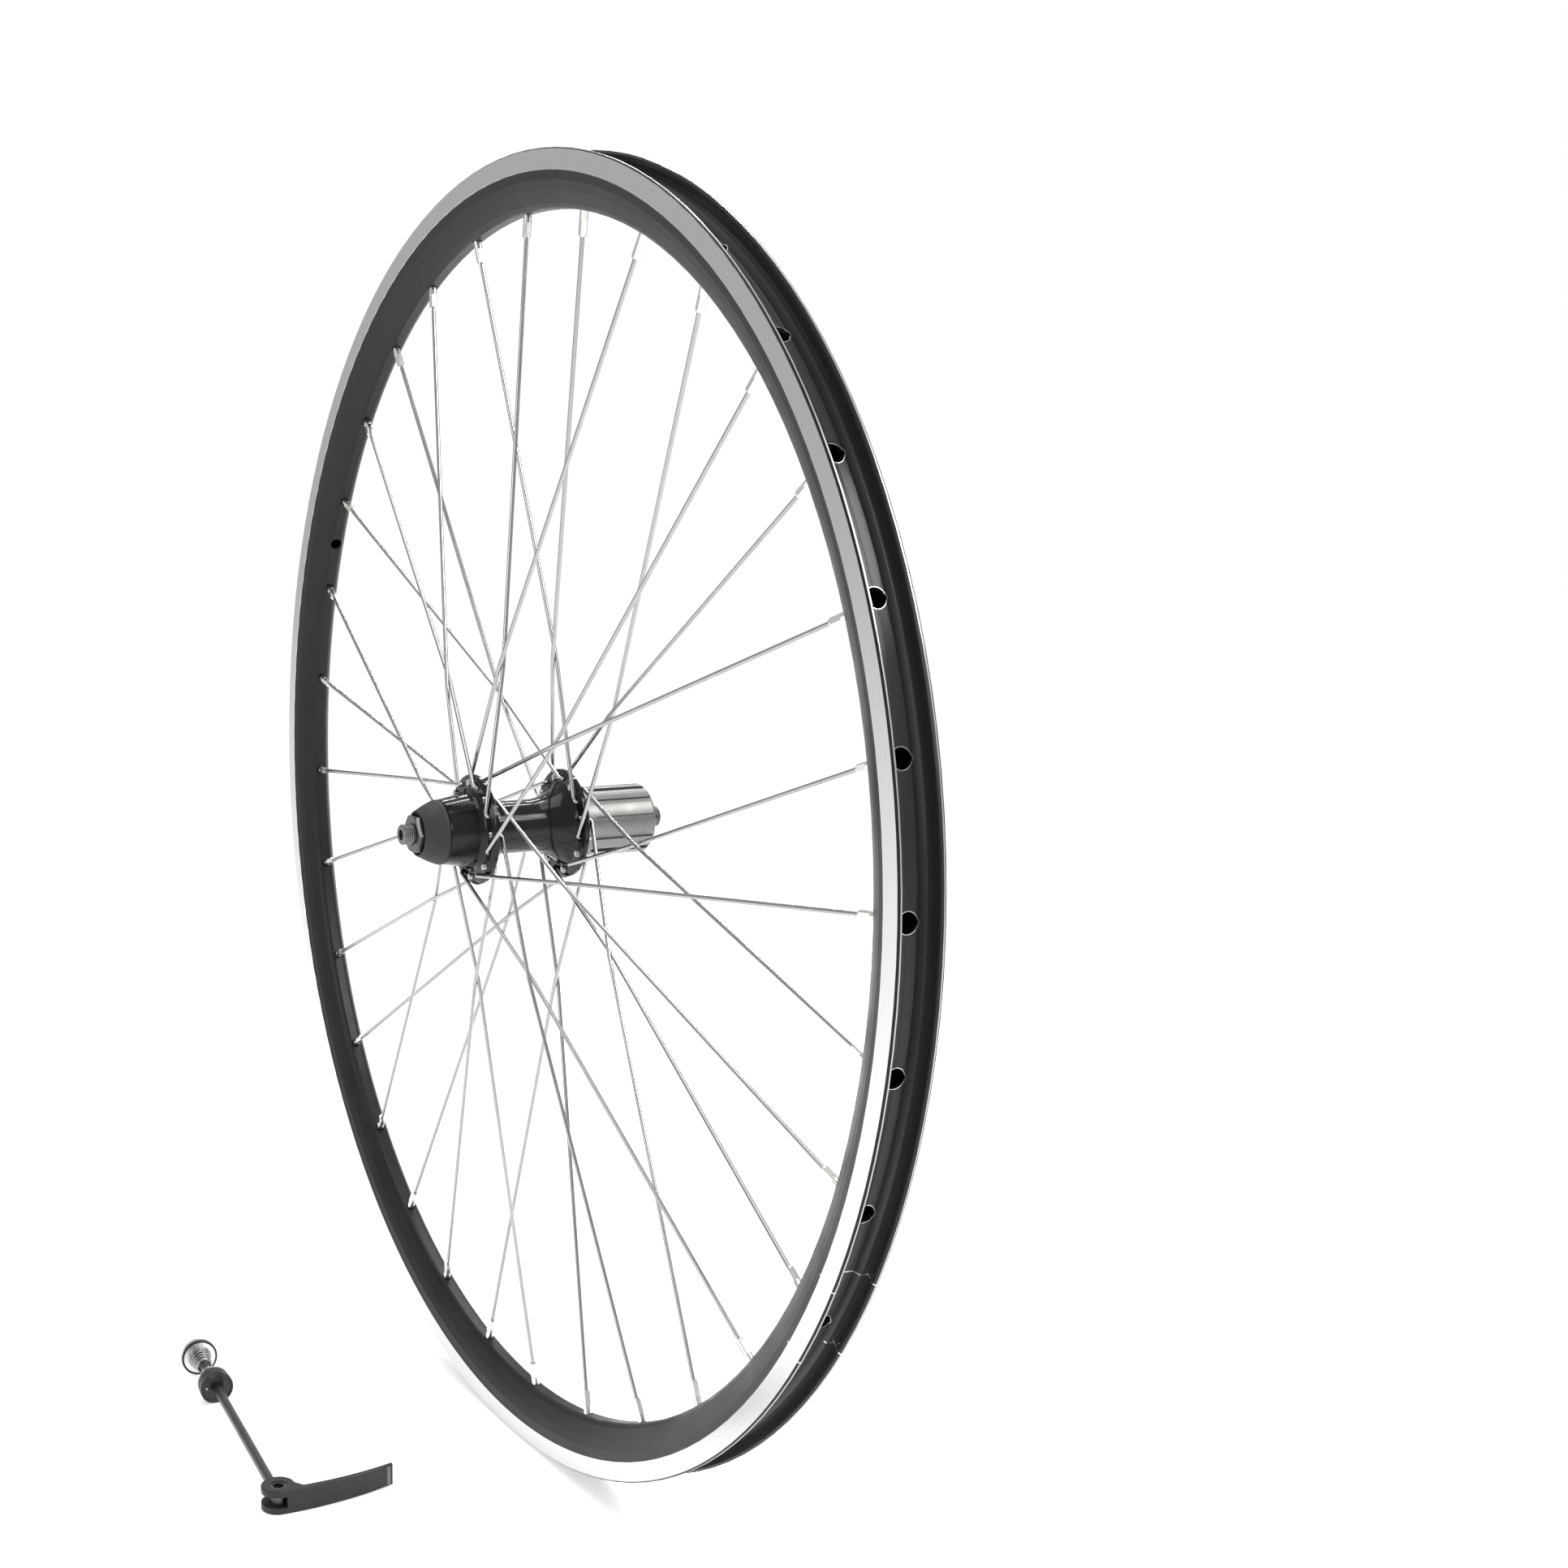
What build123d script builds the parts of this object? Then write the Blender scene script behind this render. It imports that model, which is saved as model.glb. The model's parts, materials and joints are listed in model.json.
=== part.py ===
"""Rear road-bicycle wheel with its quick-release skewer.

Frame: the origin is the middle of the axle, in the rim's centre plane.  +Y runs along the axle to
the drive side, +Z is up, and -X is the way the bicycle goes.  Millimetres throughout.
The skewer is out of the axle and lies on the ground beside the wheel.
"""
import os
from math import acos, asin, cos, degrees, radians, sin, sqrt

from build123d import *

# ---------------------------------------------------------------- driving dimensions: wheel
SPOKES = 32
CROSS_TURN = 67.5            # hub hole to rim hole of one spoke, three-cross lacing, degrees
FIRST_RIM_HOLE = 10.35       # angle of rim hole 0 from +Z towards +X, degrees
PITCH = 360 / SPOKES

RIM_R = 317.0                # outer edge of the rim; the wheel stands on this radius
RIM_HALF_W = 11.0            # brake track to centre plane
TRACK_IN_R = 307.2           # inner edge of the brake track
RIM_IN_R = 291.0             # spoke face of the rim
RIM_WALL = 1.6
BEAD_SEAT_R = 311.0          # 622 mm bead seat diameter
NIPPLE_HOLE_R = 2.4
ACCESS_HOLE_R = 4.25
VALVE_HOLE_R = 3.25
VALVE_ANGLE = FIRST_RIM_HOLE + 25.5 * PITCH

SPOKE_R = 1.0
SPOKE_HEAD_R = 1.9
SPOKE_HEAD_H = 1.3
ELBOW_R = 1.9
ELBOW_STANDOFF = 1.9         # flange face to the centre line of the spoke lying on it
CROSSING_GAP = 2.1           # centre to centre where two laced spokes pass each other
NIPPLE_R = 2.0
NIPPLE_TIP_R = 279.5         # hub end of a nipple
NIPPLE_HEAD_R = 2.9
NIPPLE_SEAT = 0.9             # start of the head, past the spoke's end point at the rim
NIPPLE_FLATS = 3.4            # across the wrench flats
NIPPLE_FLAT_LEN = 6.5

# ---------------------------------------------------------------- driving dimensions: hub
AXLE_R = 5.0
AXLE_BORE_R = 2.6
AXLE_THREAD_R = 4.6          # root of the thread, between the locknut faces
AXLE_HALF = 70.5
OVER_LOCKNUTS = 65.0         # half of the 130 mm over-locknut width
FLANGE_R = 27.0
SPOKE_CIRCLE_R = 23.0
FLANGE_HOLE_R = 1.3
LEFT_FLANGE = (-33.7, -29.7)     # outer and inner face
RIGHT_FLANGE = (19.2, 15.2)      # outer and inner face
WAIST_R = 13.0
BARREL_R = 15.8              # left barrel at its end, and where it meets the flange
BARREL_ROOT_R = 18.2
SHELL_LEFT = -50.5
SHELL_RIGHT = 22.3
THREAD_GAP = 0.02

BALL_R = 3.175               # quarter-inch balls
BALL_RACE_R = 3.25
LEFT_RACE = (-46.0, 10.2)    # y and pitch radius
RIGHT_RACE = (51.0, 9.6)
BALLS_PER_RACE = 9

FREEHUB_R = 17.3
FREEHUB_Y = (23.0, 61.0)
SPLINES = 12
SPLINE_ROOT_R = 16.1
SPLINE_SLOT = 3.0
FIRST_SPLINE = 79.5          # angle of one slot from +Z towards +X, degrees
CARRIER_BALL_R = 1.5875      # eighth-inch balls
CARRIER_RACE_R = 1.65
CARRIER_PITCH_R = 13.3
CARRIER_ROWS = (26.5, 42.3)
CARRIER_BALLS = 25
RATCHET_TEETH = 24
RATCHET_Y = (31.0, 36.0)
RATCHET_TIP_R = 13.7
RATCHET_ROOT_R = 14.8
PAWLS = 2
PAWL_PIVOT = (11.2, 38.5)    # radius and angle past the tooth face that the pawl drives

# ---------------------------------------------------------------- driving dimensions: skewer
ROD_R = 2.5
FORK_HALF_H = 6.0
PIVOT = Vector(26.5, -148.8, -RIM_R + 6.2)
ROD_HEADING = 5.25           # rod points towards -X, turned this much towards +Y, degrees
NUT_S = 170.8                # distances along the rod from the cam pivot
NUT_R = 9.9
CAP_S = 129.0
CAP_R = 8.9
ROD_TIP_S = 183.5
ROD_TILT = degrees(asin((NUT_R - 6.2) / (NUT_S + 1.6)))
RUN = 0.06                   # running clearance, radial
EYE_R = 8.2
CAM_THROW = 0.8
BARREL_PIN_R = 4.0
SLOT_HALF_H = 2.7
LEVER_LEN = 58.0
LEVER_ARC_R = 171.0
LEVER_EDGE = 0.45            # chamfer along the arm and round the eye
SEAT_R = EYE_R + 0.15

os.makedirs("parts", exist_ok=True)


def save(piece, label):
    """Label a finished piece and write it as its own STEP file."""
    piece.part.label = label
    export_step(piece.part, f"parts/{label}.step")


def section(*corners):
    """Closed profile of (y, radius) corners, ready to be turned about the axle."""
    with BuildSketch(Plane.YZ) as outline:
        with BuildLine():
            Polyline(*corners, close=True)
        make_face()
    return outline.sketch


def ring_section(y, pitch_r, groove_r):
    """Round section of a ball race."""
    with BuildSketch(Plane.YZ) as outline:
        with Locations((y, pitch_r)):
            Circle(groove_r)
    return outline.sketch


def around(angle, radius=0.0, y=0.0):
    """Plane at an angle round the axle, looking outwards; its x is +Y."""
    out = Vector(sin(radians(angle)), 0, cos(radians(angle)))
    return Plane(origin=out * radius + Vector(0, y, 0), x_dir=(0, 1, 0), z_dir=out)


def polar(radius, angle, y=0.0):
    """Point at a radius and an angle from +Z towards +X."""
    return Vector(radius * sin(radians(angle)), y, radius * cos(radians(angle)))


def rim_angle(hole):
    return FIRST_RIM_HOLE + hole * PITCH


def hexagon_prism(across_flats, y_low, y_high):
    """Hexagonal prism along the axle."""
    with BuildPart() as prism:
        with BuildSketch(Plane(origin=(0, y_low, 0), x_dir=(1, 0, 0), z_dir=(0, 1, 0))):
            RegularPolygon(across_flats / 2, 6, major_radius=False)
        extrude(amount=y_high - y_low)
    return prism.part


# ================================================================ rim
rim_outline_half = [
    (RIM_HALF_W - 0.7, RIM_R), (RIM_HALF_W, RIM_R - 0.7), (RIM_HALF_W, TRACK_IN_R + 0.3),
    (RIM_HALF_W - 0.35, TRACK_IN_R), (9.7, 303.2), (8.0, 299.0), (6.3, 295.6), (5.0, 293.2),
    (3.4, RIM_IN_R + 0.5), (2.2, RIM_IN_R),
]
bed_half = [
    (0.0, 307.6), (4.1, 307.9), (5.9, BEAD_SEAT_R - 0.3), (9.3, BEAD_SEAT_R), (9.5, 313.0),
    (8.8, 314.4), (8.7, 316.0), (9.3, RIM_R),
]
cavity_half = [(0.0, 306.3), (4.0, 306.4), (5.8, 309.5), (9.3, 309.5), (9.3, 306.8), (8.3, 303.6),
               (6.7, 299.8), (5.0, 296.2), (4.2, 293.8), (3.4, RIM_IN_R + RIM_WALL + 0.15),
               (3.0, RIM_IN_R + RIM_WALL), (0.0, RIM_IN_R + RIM_WALL)]


def mirrored(half):
    """Corners of the +Y half, then the same corners on the -Y side in reverse."""
    return half + [(-y, r) for y, r in reversed(half) if y > 0]


with BuildPart() as rim:
    # the section runs down the outside of one side, across the spoke face and up the other side,
    # then back through the tyre bed
    outside = rim_outline_half + [(-y, r) for y, r in reversed(rim_outline_half)]
    bed = [(-y, r) for y, r in reversed(bed_half)] + bed_half[1:]
    revolve(section(*outside, *bed), axis=Axis.Y)
    revolve(section(*cavity_half, *[(-y, r) for y, r in reversed(cavity_half[1:-1])]),
            axis=Axis.Y, mode=Mode.SUBTRACT)
    with Locations(*[around(rim_angle(i), RIM_IN_R - 1).location for i in range(SPOKES)]):
        Cylinder(NIPPLE_HOLE_R, 6, align=(Align.CENTER, Align.CENTER, Align.MIN), mode=Mode.SUBTRACT)
    with Locations(*[around(rim_angle(i), 304).location for i in range(SPOKES)]):
        Cylinder(ACCESS_HOLE_R, 8, align=(Align.CENTER, Align.CENTER, Align.MIN), mode=Mode.SUBTRACT)
    with Locations(around(VALVE_ANGLE, RIM_IN_R - 1).location):
        Cylinder(VALVE_HOLE_R, 24, align=(Align.CENTER, Align.CENTER, Align.MIN), mode=Mode.SUBTRACT)
save(rim, "rim")

# sleeve pushed into both ends of the bent profile, opposite the valve hole
SLEEVE_ARC = 7.0
sleeve_half = [(0.0, 305.9), (4.1, 305.9), (6.1, 309.0), (8.7, 309.0), (8.7, 306.8), (7.7, 303.5),
               (6.1, 299.7), (4.5, 296.3), (3.8, 294.8), (0.0, 294.8)]
with BuildPart() as rim_joint_sleeve:
    sleeve_corners = sleeve_half + [(-y, r) for y, r in reversed(sleeve_half[1:-1])]
    revolve(section(*sleeve_corners).rotate(Axis.Y, VALVE_ANGLE - 180 - SLEEVE_ARC / 2),
            axis=Axis.Y, revolution_arc=SLEEVE_ARC)
save(rim_joint_sleeve, "rim_joint_sleeve")


# ================================================================ spokes and nipples
class Spoke:
    """Centre line of one spoke, from its head at the flange to its end inside the nipple."""

    def __init__(self, hole, flange, turn, outboard):
        face_out, face_in = flange
        sign = 1 if face_out > 0 else -1
        self.hub_angle = rim_angle(hole) + turn
        away = sign if outboard else -sign
        self.away = away
        head_face, elbow_face = (face_in, face_out) if outboard else (face_out, face_in)
        self.head = polar(SPOKE_CIRCLE_R, self.hub_angle, head_face)
        self.elbow = polar(SPOKE_CIRCLE_R, self.hub_angle, elbow_face + away * ELBOW_STANDOFF)
        self.rim_end = polar(RIM_IN_R + 0.8, rim_angle(hole))
        # the outermost crossing is a quarter of the way out, where the two spokes touch
        hub_hole = polar(SPOKE_CIRCLE_R, self.hub_angle)
        along = (self.rim_end - hub_hole).normalized()
        foot = hub_hole.dot(along)
        offset = sqrt(SPOKE_CIRCLE_R ** 2 - foot ** 2)
        foot_lead = degrees(acos(offset / SPOKE_CIRCLE_R))
        crossing_half_turn = 2.5 * 22.5 + foot_lead
        crossing_r = offset / cos(radians(crossing_half_turn))
        run = sqrt(crossing_r ** 2 - offset ** 2) - foot
        length = (self.rim_end - hub_hole).length
        middle = (face_out + face_in) / 2 * (1 - run / length)
        weave = -sign if outboard else sign
        self.crossing = hub_hole + along * run + Vector(0, middle + weave * CROSSING_GAP / 2, 0)
        self.rim_dir = (self.rim_end - self.crossing).normalized()
        self.tip = self.rim_end + self.rim_dir * 2.6

    def solid(self):
        """Bent wire with its button head."""
        into_hole = Vector(0, self.away, 0)
        with BuildPart() as wire:
            with BuildLine() as path:
                FilletPolyline(self.head, self.elbow, self.crossing, self.tip, radius=[ELBOW_R, 40])
            with BuildSketch(Plane(origin=self.head, z_dir=into_hole)):
                Circle(SPOKE_R)
            sweep(path=path.wires()[0])
            with BuildSketch(Plane(origin=self.head, z_dir=-into_hole)):
                Circle(SPOKE_HEAD_R)
            extrude(amount=SPOKE_HEAD_H, taper=18)
        return wire.part


lacing = {
    "spokes_left_outboard": [Spoke(i, LEFT_FLANGE, CROSS_TURN, True) for i in range(3, 32, 4)],
    "spokes_left_inboard": [Spoke(i, LEFT_FLANGE, -CROSS_TURN, False) for i in range(1, 32, 4)],
    "spokes_right_inboard": [Spoke(i, RIGHT_FLANGE, CROSS_TURN, False) for i in range(2, 32, 4)],
    "spokes_right_outboard": [Spoke(i, RIGHT_FLANGE, -CROSS_TURN, True) for i in range(0, 32, 4)],
}
for group_name, group in lacing.items():
    with BuildPart() as spoke_group:
        for spoke in group:
            add(spoke.solid())
    save(spoke_group, group_name)


def nipple_solid(spoke):
    """Slotted nipple on the line of its spoke: round head inside the rim, shank outside."""
    base = Plane(origin=spoke.rim_end, z_dir=spoke.rim_dir)
    shank = RIM_IN_R + 0.8 - NIPPLE_TIP_R
    with BuildPart() as nipple:
        with BuildSketch(base.offset(-shank)):
            Circle(NIPPLE_R - 0.25)
        extrude(amount=0.8)
        with BuildSketch(base.offset(-shank + 0.8)):
            Circle(NIPPLE_R)
            Rectangle(NIPPLE_FLATS, NIPPLE_FLATS, mode=Mode.INTERSECT)
        extrude(amount=NIPPLE_FLAT_LEN)
        with BuildSketch(base.offset(-shank + 0.8 + NIPPLE_FLAT_LEN)):
            Circle(NIPPLE_R)
        extrude(amount=shank - NIPPLE_FLAT_LEN)
        with BuildSketch(base.offset(NIPPLE_SEAT)):
            Circle(NIPPLE_R)
        with BuildSketch(base.offset(NIPPLE_SEAT + 0.8)):
            Circle(NIPPLE_HEAD_R)
        loft()
        with BuildSketch(base.offset(NIPPLE_SEAT + 0.8)):
            Circle(NIPPLE_HEAD_R)
        extrude(amount=1.8, taper=20)
        with BuildSketch(base.offset(-shank - 1)):
            Circle(SPOKE_R)
        extrude(amount=shank + 3.6, mode=Mode.SUBTRACT)
        with BuildSketch(base.offset(NIPPLE_SEAT + 1.8)):
            Rectangle(2 * NIPPLE_HEAD_R + 1, 0.9)
        extrude(amount=2, mode=Mode.SUBTRACT)
    return nipple.part


for side in ("left", "right"):
    with BuildPart() as nipple_group:
        for group_name, group in lacing.items():
            if side in group_name:
                for spoke in group:
                    add(nipple_solid(spoke))
    save(nipple_group, f"nipples_{side}")

# ================================================================ hub shell
EDGE = 0.5
left_out, left_in = LEFT_FLANGE
right_out, right_in = RIGHT_FLANGE
with BuildPart() as hub_shell:
    with BuildSketch(Plane.YZ):
        with BuildLine():
            Polyline((SHELL_LEFT, 14.5), (SHELL_LEFT, BARREL_R - 0.4),
                     (SHELL_LEFT + 0.4, BARREL_R), (-36.6, BARREL_ROOT_R))
            ThreePointArc((-36.6, BARREL_ROOT_R), (-34.8, 19.0), (left_out, 20.4))
            Polyline((left_out, 20.4), (left_out, 24.9), (left_out + 1.1, FLANGE_R - EDGE),
                     (left_out + 1.5, FLANGE_R), (left_in - 0.9, FLANGE_R),
                     (left_in - 0.5, FLANGE_R - EDGE), (left_in, 24.9), (left_in, 18.2))
            ThreePointArc((left_in, 18.2), (-28.0, 14.6), (-24.0, WAIST_R))
            Line((-24.0, WAIST_R), (-2.0, WAIST_R))
            ThreePointArc((-2.0, WAIST_R), (7.46, 15.07), (right_in, 20.9))
            Polyline((right_in, 20.9), (right_in, 24.9), (right_in + 0.5, FLANGE_R - EDGE),
                     (right_in + 0.9, FLANGE_R), (right_out - 1.5, FLANGE_R),
                     (right_out - 1.1, FLANGE_R - EDGE), (right_out, 24.9), (right_out, 19.8))
            ThreePointArc((right_out, 19.8), (20.1, 18.1), (SHELL_RIGHT, 17.4))
            Polyline((SHELL_RIGHT, 17.4), (SHELL_RIGHT, 11.05), (18.0, 11.05), (18.0, 7.5),
                     (7.0, 7.5), (7.0, 10.3), (-41.2, 10.3), (-41.2, 14.5), (SHELL_LEFT, 14.5))
        make_face()
    revolve(axis=Axis.Y)
    flange_holes = []
    for group in lacing.values():
        for spoke in group:
            centre = polar(SPOKE_CIRCLE_R, spoke.hub_angle, spoke.head.Y - spoke.away)
            flange_holes.append(Plane(origin=centre, z_dir=(0, spoke.away, 0)).location)
    with Locations(*flange_holes):
        Cylinder(FLANGE_HOLE_R, 7, align=(Align.CENTER, Align.CENTER, Align.MIN), mode=Mode.SUBTRACT)
save(hub_shell, "hub_shell")


# ================================================================ axle set
def race_groove(race):
    """Ring that a ball race takes out of a cup or cone."""
    return revolve(ring_section(*race, BALL_RACE_R), axis=Axis.Y, mode=Mode.SUBTRACT)


axle_hole = AXLE_THREAD_R + THREAD_GAP
with BuildPart() as axle:
    half = [(OVER_LOCKNUTS, AXLE_THREAD_R), (OVER_LOCKNUTS, AXLE_R), (AXLE_HALF - 0.5, AXLE_R),
            (AXLE_HALF, AXLE_R - 0.5), (AXLE_HALF, AXLE_BORE_R)]
    revolve(section(*[(-y, r) for y, r in reversed(half)], *half), axis=Axis.Y)
save(axle, "axle")

with BuildPart() as left_cone:
    revolve(section((-45.4, axle_hole), (-45.4, 9.6), (-50.0, 9.6), (-52.5, 8.6), (-58.0, 8.4),
                    (-58.0, axle_hole)), axis=Axis.Y)
    race_groove(LEFT_RACE)
save(left_cone, "left_cone")

with BuildPart() as left_spacer:
    revolve(section((-58.0, axle_hole), (-58.0, 8.4), (-60.5, 8.4), (-60.5, axle_hole)), axis=Axis.Y)
save(left_spacer, "left_spacer")

with BuildPart() as right_cone:
    revolve(section((50.5, axle_hole), (50.5, 9.1), (56.8, 9.1), (60.0, 8.4), (60.0, axle_hole)),
            axis=Axis.Y)
    race_groove(RIGHT_RACE)
save(right_cone, "right_cone")

with BuildPart() as keyed_washer:
    revolve(section((60.0, axle_hole), (60.0, 8.3), (61.2, 8.3), (61.2, axle_hole)), axis=Axis.Y)
save(keyed_washer, "keyed_washer")


def locknut_solid(y_inner):
    """17 mm hexagon locknut with chamfered corners, from y_inner out to the locknut width."""
    sign = 1 if y_inner > 0 else -1
    outer = sign * OVER_LOCKNUTS
    low, high = sorted((y_inner, outer))
    with BuildPart() as nut:
        add(hexagon_prism(17.0, low, high))
        revolve(section((y_inner, 0.0), (y_inner, 10.4), (outer - sign * 0.9, 10.4), (outer, 8.6),
                        (outer, 0.0)), axis=Axis.Y, mode=Mode.INTERSECT)
        revolve(section((low - 1, 0.0), (low - 1, axle_hole), (high + 1, axle_hole), (high + 1, 0.0)),
                axis=Axis.Y, mode=Mode.SUBTRACT)
        revolve(section((outer - sign * 0.9, 0.0), (outer - sign * 0.9, axle_hole),
                        (outer, AXLE_R + 0.35), (outer, 0.0)), axis=Axis.Y, mode=Mode.SUBTRACT)
    return nut


save(locknut_solid(-60.5), "left_locknut")
save(locknut_solid(61.2), "right_locknut")

with BuildPart() as rubber_boot:
    with BuildSketch(Plane.YZ):
        with BuildLine():
            Polyline((-50.9, 14.7), (-50.9, BARREL_R - 0.3), (-51.3, BARREL_R), (-52.4, BARREL_R - 0.1))
            ThreePointArc((-52.4, BARREL_R - 0.1), (-57.0, 13.75), (-61.5, 11.4))
            ThreePointArc((-61.5, 11.4), (-62.1, 11.1), (-62.4, 10.7))
            Polyline((-62.4, 10.7), (-62.3, 10.25), (-60.5, 10.1), (-60.5, 8.4), (-58.2, 8.4),
                     (-57.4, 9.6), (-52.6, 13.6), (-52.2, 14.5), (-50.9, 14.7))
        make_face()
    revolve(axis=Axis.Y)
save(rubber_boot, "rubber_boot")

# ================================================================ left bearing
with BuildPart() as left_bearing_cup:
    revolve(section((-41.4, 8.6), (-41.4, 14.45), (-49.2, 14.45), (-49.2, 13.4), (-46.6, 13.4),
                    (-46.6, 8.6)), axis=Axis.Y)
    race_groove(LEFT_RACE)
save(left_bearing_cup, "left_bearing_cup")

with BuildPart() as left_dust_cap:
    revolve(section((-49.2, 10.1), (-49.2, 14.45), (-50.3, 14.45), (-50.3, 10.1)), axis=Axis.Y)
save(left_dust_cap, "left_dust_cap")


def ball_ring(y, pitch_r, ball_r, count):
    """Ring of separate balls."""
    with BuildPart() as balls:
        with Locations(*[polar(pitch_r, k * 360 / count, y) for k in range(count)]):
            Sphere(ball_r)
    return balls


save(ball_ring(*LEFT_RACE, BALL_R, BALLS_PER_RACE), "left_bearing_balls")
save(ball_ring(*RIGHT_RACE, BALL_R, BALLS_PER_RACE), "right_bearing_balls")

# ================================================================ freehub
with BuildPart() as right_bearing_cup:
    revolve(section((41.2, 8.3), (41.2, 10.4), (45.1, 10.4), (45.1, 14.2), (56.5, 14.2),
                    (56.5, 12.9), (51.5, 12.9), (51.5, 8.3)), axis=Axis.Y)
    race_groove(RIGHT_RACE)
save(right_bearing_cup, "right_bearing_cup")

with BuildPart() as freehub_fixing_bolt:
    revolve(section((7.2, 5.6), (7.2, 7.45), (37.0, 7.45), (37.0, 9.0), (41.0, 9.0), (41.0, 5.6)),
            axis=Axis.Y)
    add(hexagon_prism(12.0, 36.5, 42.0), mode=Mode.SUBTRACT)
save(freehub_fixing_bolt, "freehub_fixing_bolt")


def pawl_face():
    """Outline of a pawl, seen along the axle, with the tooth face it drives at angle 0."""
    pivot_r, pivot_angle = PAWL_PIVOT
    with BuildSketch(Plane.XZ) as outline:
        with BuildLine():
            corners = [(13.45, 0.6), (13.3, 10), (12.75, 30), (12.5, 38.5), (11.2, 44.5),
                       (9.9, 38.5), (10.6, 22), (12.2, 2.0)]
            Polyline(*[(polar(r, a).X, polar(r, a).Z) for r, a in corners], close=True)
        make_face()
        centre = polar(pivot_r, pivot_angle)
        with Locations((centre.X, centre.Z)):
            Circle(1.3)
    return outline.sketch


def pocket_face():
    """Space that a pawl swings in."""
    with BuildSketch(Plane.XZ) as outline:
        with BuildLine():
            corners = [(15.0, -1.6), (15.0, 52.0), (12.9, 52.0), (9.2, 45.0), (9.0, 36.0),
                       (9.4, 18.0), (10.6, 0.0)]
            Polyline(*[(polar(r, a).X, polar(r, a).Z) for r, a in corners], close=True)
        make_face()
    return outline.sketch


half_turn = 360 / PAWLS
pawl_low, pawl_high = RATCHET_Y[0] + 0.2, RATCHET_Y[1] - 0.2
with BuildPart() as freehub_core:
    revolve(section((18.2, 7.6), (18.2, 11.0), (22.35, 11.0), (22.35, 12.9), (45.0, 12.9), (45.0, 10.45),
                    (41.05, 10.45), (41.05, 9.05), (37.0, 9.05), (37.0, 7.6)), axis=Axis.Y)
    for row in CARRIER_ROWS:
        revolve(ring_section(row, CARRIER_PITCH_R, CARRIER_RACE_R), axis=Axis.Y, mode=Mode.SUBTRACT)
    for k in range(PAWLS):
        pocket = pocket_face().rotate(Axis.Y, k * half_turn).moved(Location((0, RATCHET_Y[1], 0)))
        extrude(pocket, amount=RATCHET_Y[1] - RATCHET_Y[0], mode=Mode.SUBTRACT)
    revolve(section((29.8, 12.2), (29.8, 13.0), (30.6, 13.0), (30.6, 12.2)),
            axis=Axis.Y, mode=Mode.SUBTRACT)
save(freehub_core, "freehub_core")

with BuildPart() as pawl_spring:
    revolve(ring_section(30.2, 12.55, 0.3).rotate(Axis.Y, 8), axis=Axis.Y, revolution_arc=344)
save(pawl_spring, "pawl_spring")

for k in range(PAWLS):
    with BuildPart() as pawl:
        tooth_side = pawl_face().rotate(Axis.Y, k * half_turn).moved(Location((0, pawl_high, 0)))
        extrude(tooth_side, amount=pawl_high - pawl_low)
    save(pawl, f"pawl_{k + 1}")

with BuildPart() as freehub_body:
    low, high = FREEHUB_Y
    revolve(section((low, 13.7), (low, FREEHUB_R - 0.3), (low + 0.3, FREEHUB_R), (high - 1.5, FREEHUB_R),
                    (high, SPLINE_ROOT_R - 0.1), (high, 14.9), (55.0, 14.9), (55.0, 14.5),
                    (44.7, 14.5), (44.7, 13.7)), axis=Axis.Y)
    for row in CARRIER_ROWS:
        revolve(ring_section(row, CARRIER_PITCH_R, CARRIER_RACE_R), axis=Axis.Y, mode=Mode.SUBTRACT)
    # twenty-four saw teeth, each with one steep face
    with BuildSketch(Plane.XZ.offset(-RATCHET_Y[1])):
        with BuildLine():
            teeth = []
            for k in range(RATCHET_TEETH):
                angle = k * 360 / RATCHET_TEETH
                teeth.append(polar(RATCHET_ROOT_R, angle))
                teeth.append(polar(RATCHET_TIP_R - 0.1, angle + 14.6))
            Polyline(*[(p.X, p.Z) for p in teeth], close=True)
        make_face()
    extrude(amount=RATCHET_Y[1] - RATCHET_Y[0], mode=Mode.SUBTRACT)
    slots = [around(FIRST_SPLINE + k * 360 / SPLINES, SPLINE_ROOT_R, 46.5) for k in range(SPLINES)]
    with Locations(*[slot.location for slot in slots]):
        Box(39.0, SPLINE_SLOT, 4.0, align=(Align.CENTER, Align.CENTER, Align.MIN), mode=Mode.SUBTRACT)
save(freehub_body, "freehub_body")

with BuildPart() as freehub_dust_seal:
    revolve(section((57.0, 9.4), (57.0, 14.4), (58.4, 14.4), (58.4, 9.2)), axis=Axis.Y)
save(freehub_dust_seal, "freehub_dust_seal")

with BuildPart() as freehub_balls:
    for row in CARRIER_ROWS:
        with Locations(*[polar(CARRIER_PITCH_R, k * 360 / CARRIER_BALLS, row)
                         for k in range(CARRIER_BALLS)]):
            Sphere(CARRIER_BALL_R)
save(freehub_balls, "freehub_balls")

# ================================================================ skewer
heading = radians(ROD_HEADING)
tilt = radians(ROD_TILT)
away_dir = Vector(cos(tilt) * cos(heading), -cos(tilt) * sin(heading), -sin(tilt))
lift_dir = Vector(sin(tilt) * cos(heading), -sin(tilt) * sin(heading), cos(tilt))
side_dir = lift_dir.cross(away_dir)
rod_axis = Axis(PIVOT, -away_dir)
flat = Plane(origin=PIVOT, x_dir=away_dir, z_dir=lift_dir)


def rod_section(*corners):
    """Closed profile of (distance from the pivot, radius) corners beside the rod's axis."""
    with BuildSketch(Plane(origin=PIVOT, x_dir=-away_dir, z_dir=side_dir)) as outline:
        with BuildLine():
            Polyline(*corners, close=True)
        make_face()
    return outline.sketch


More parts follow.
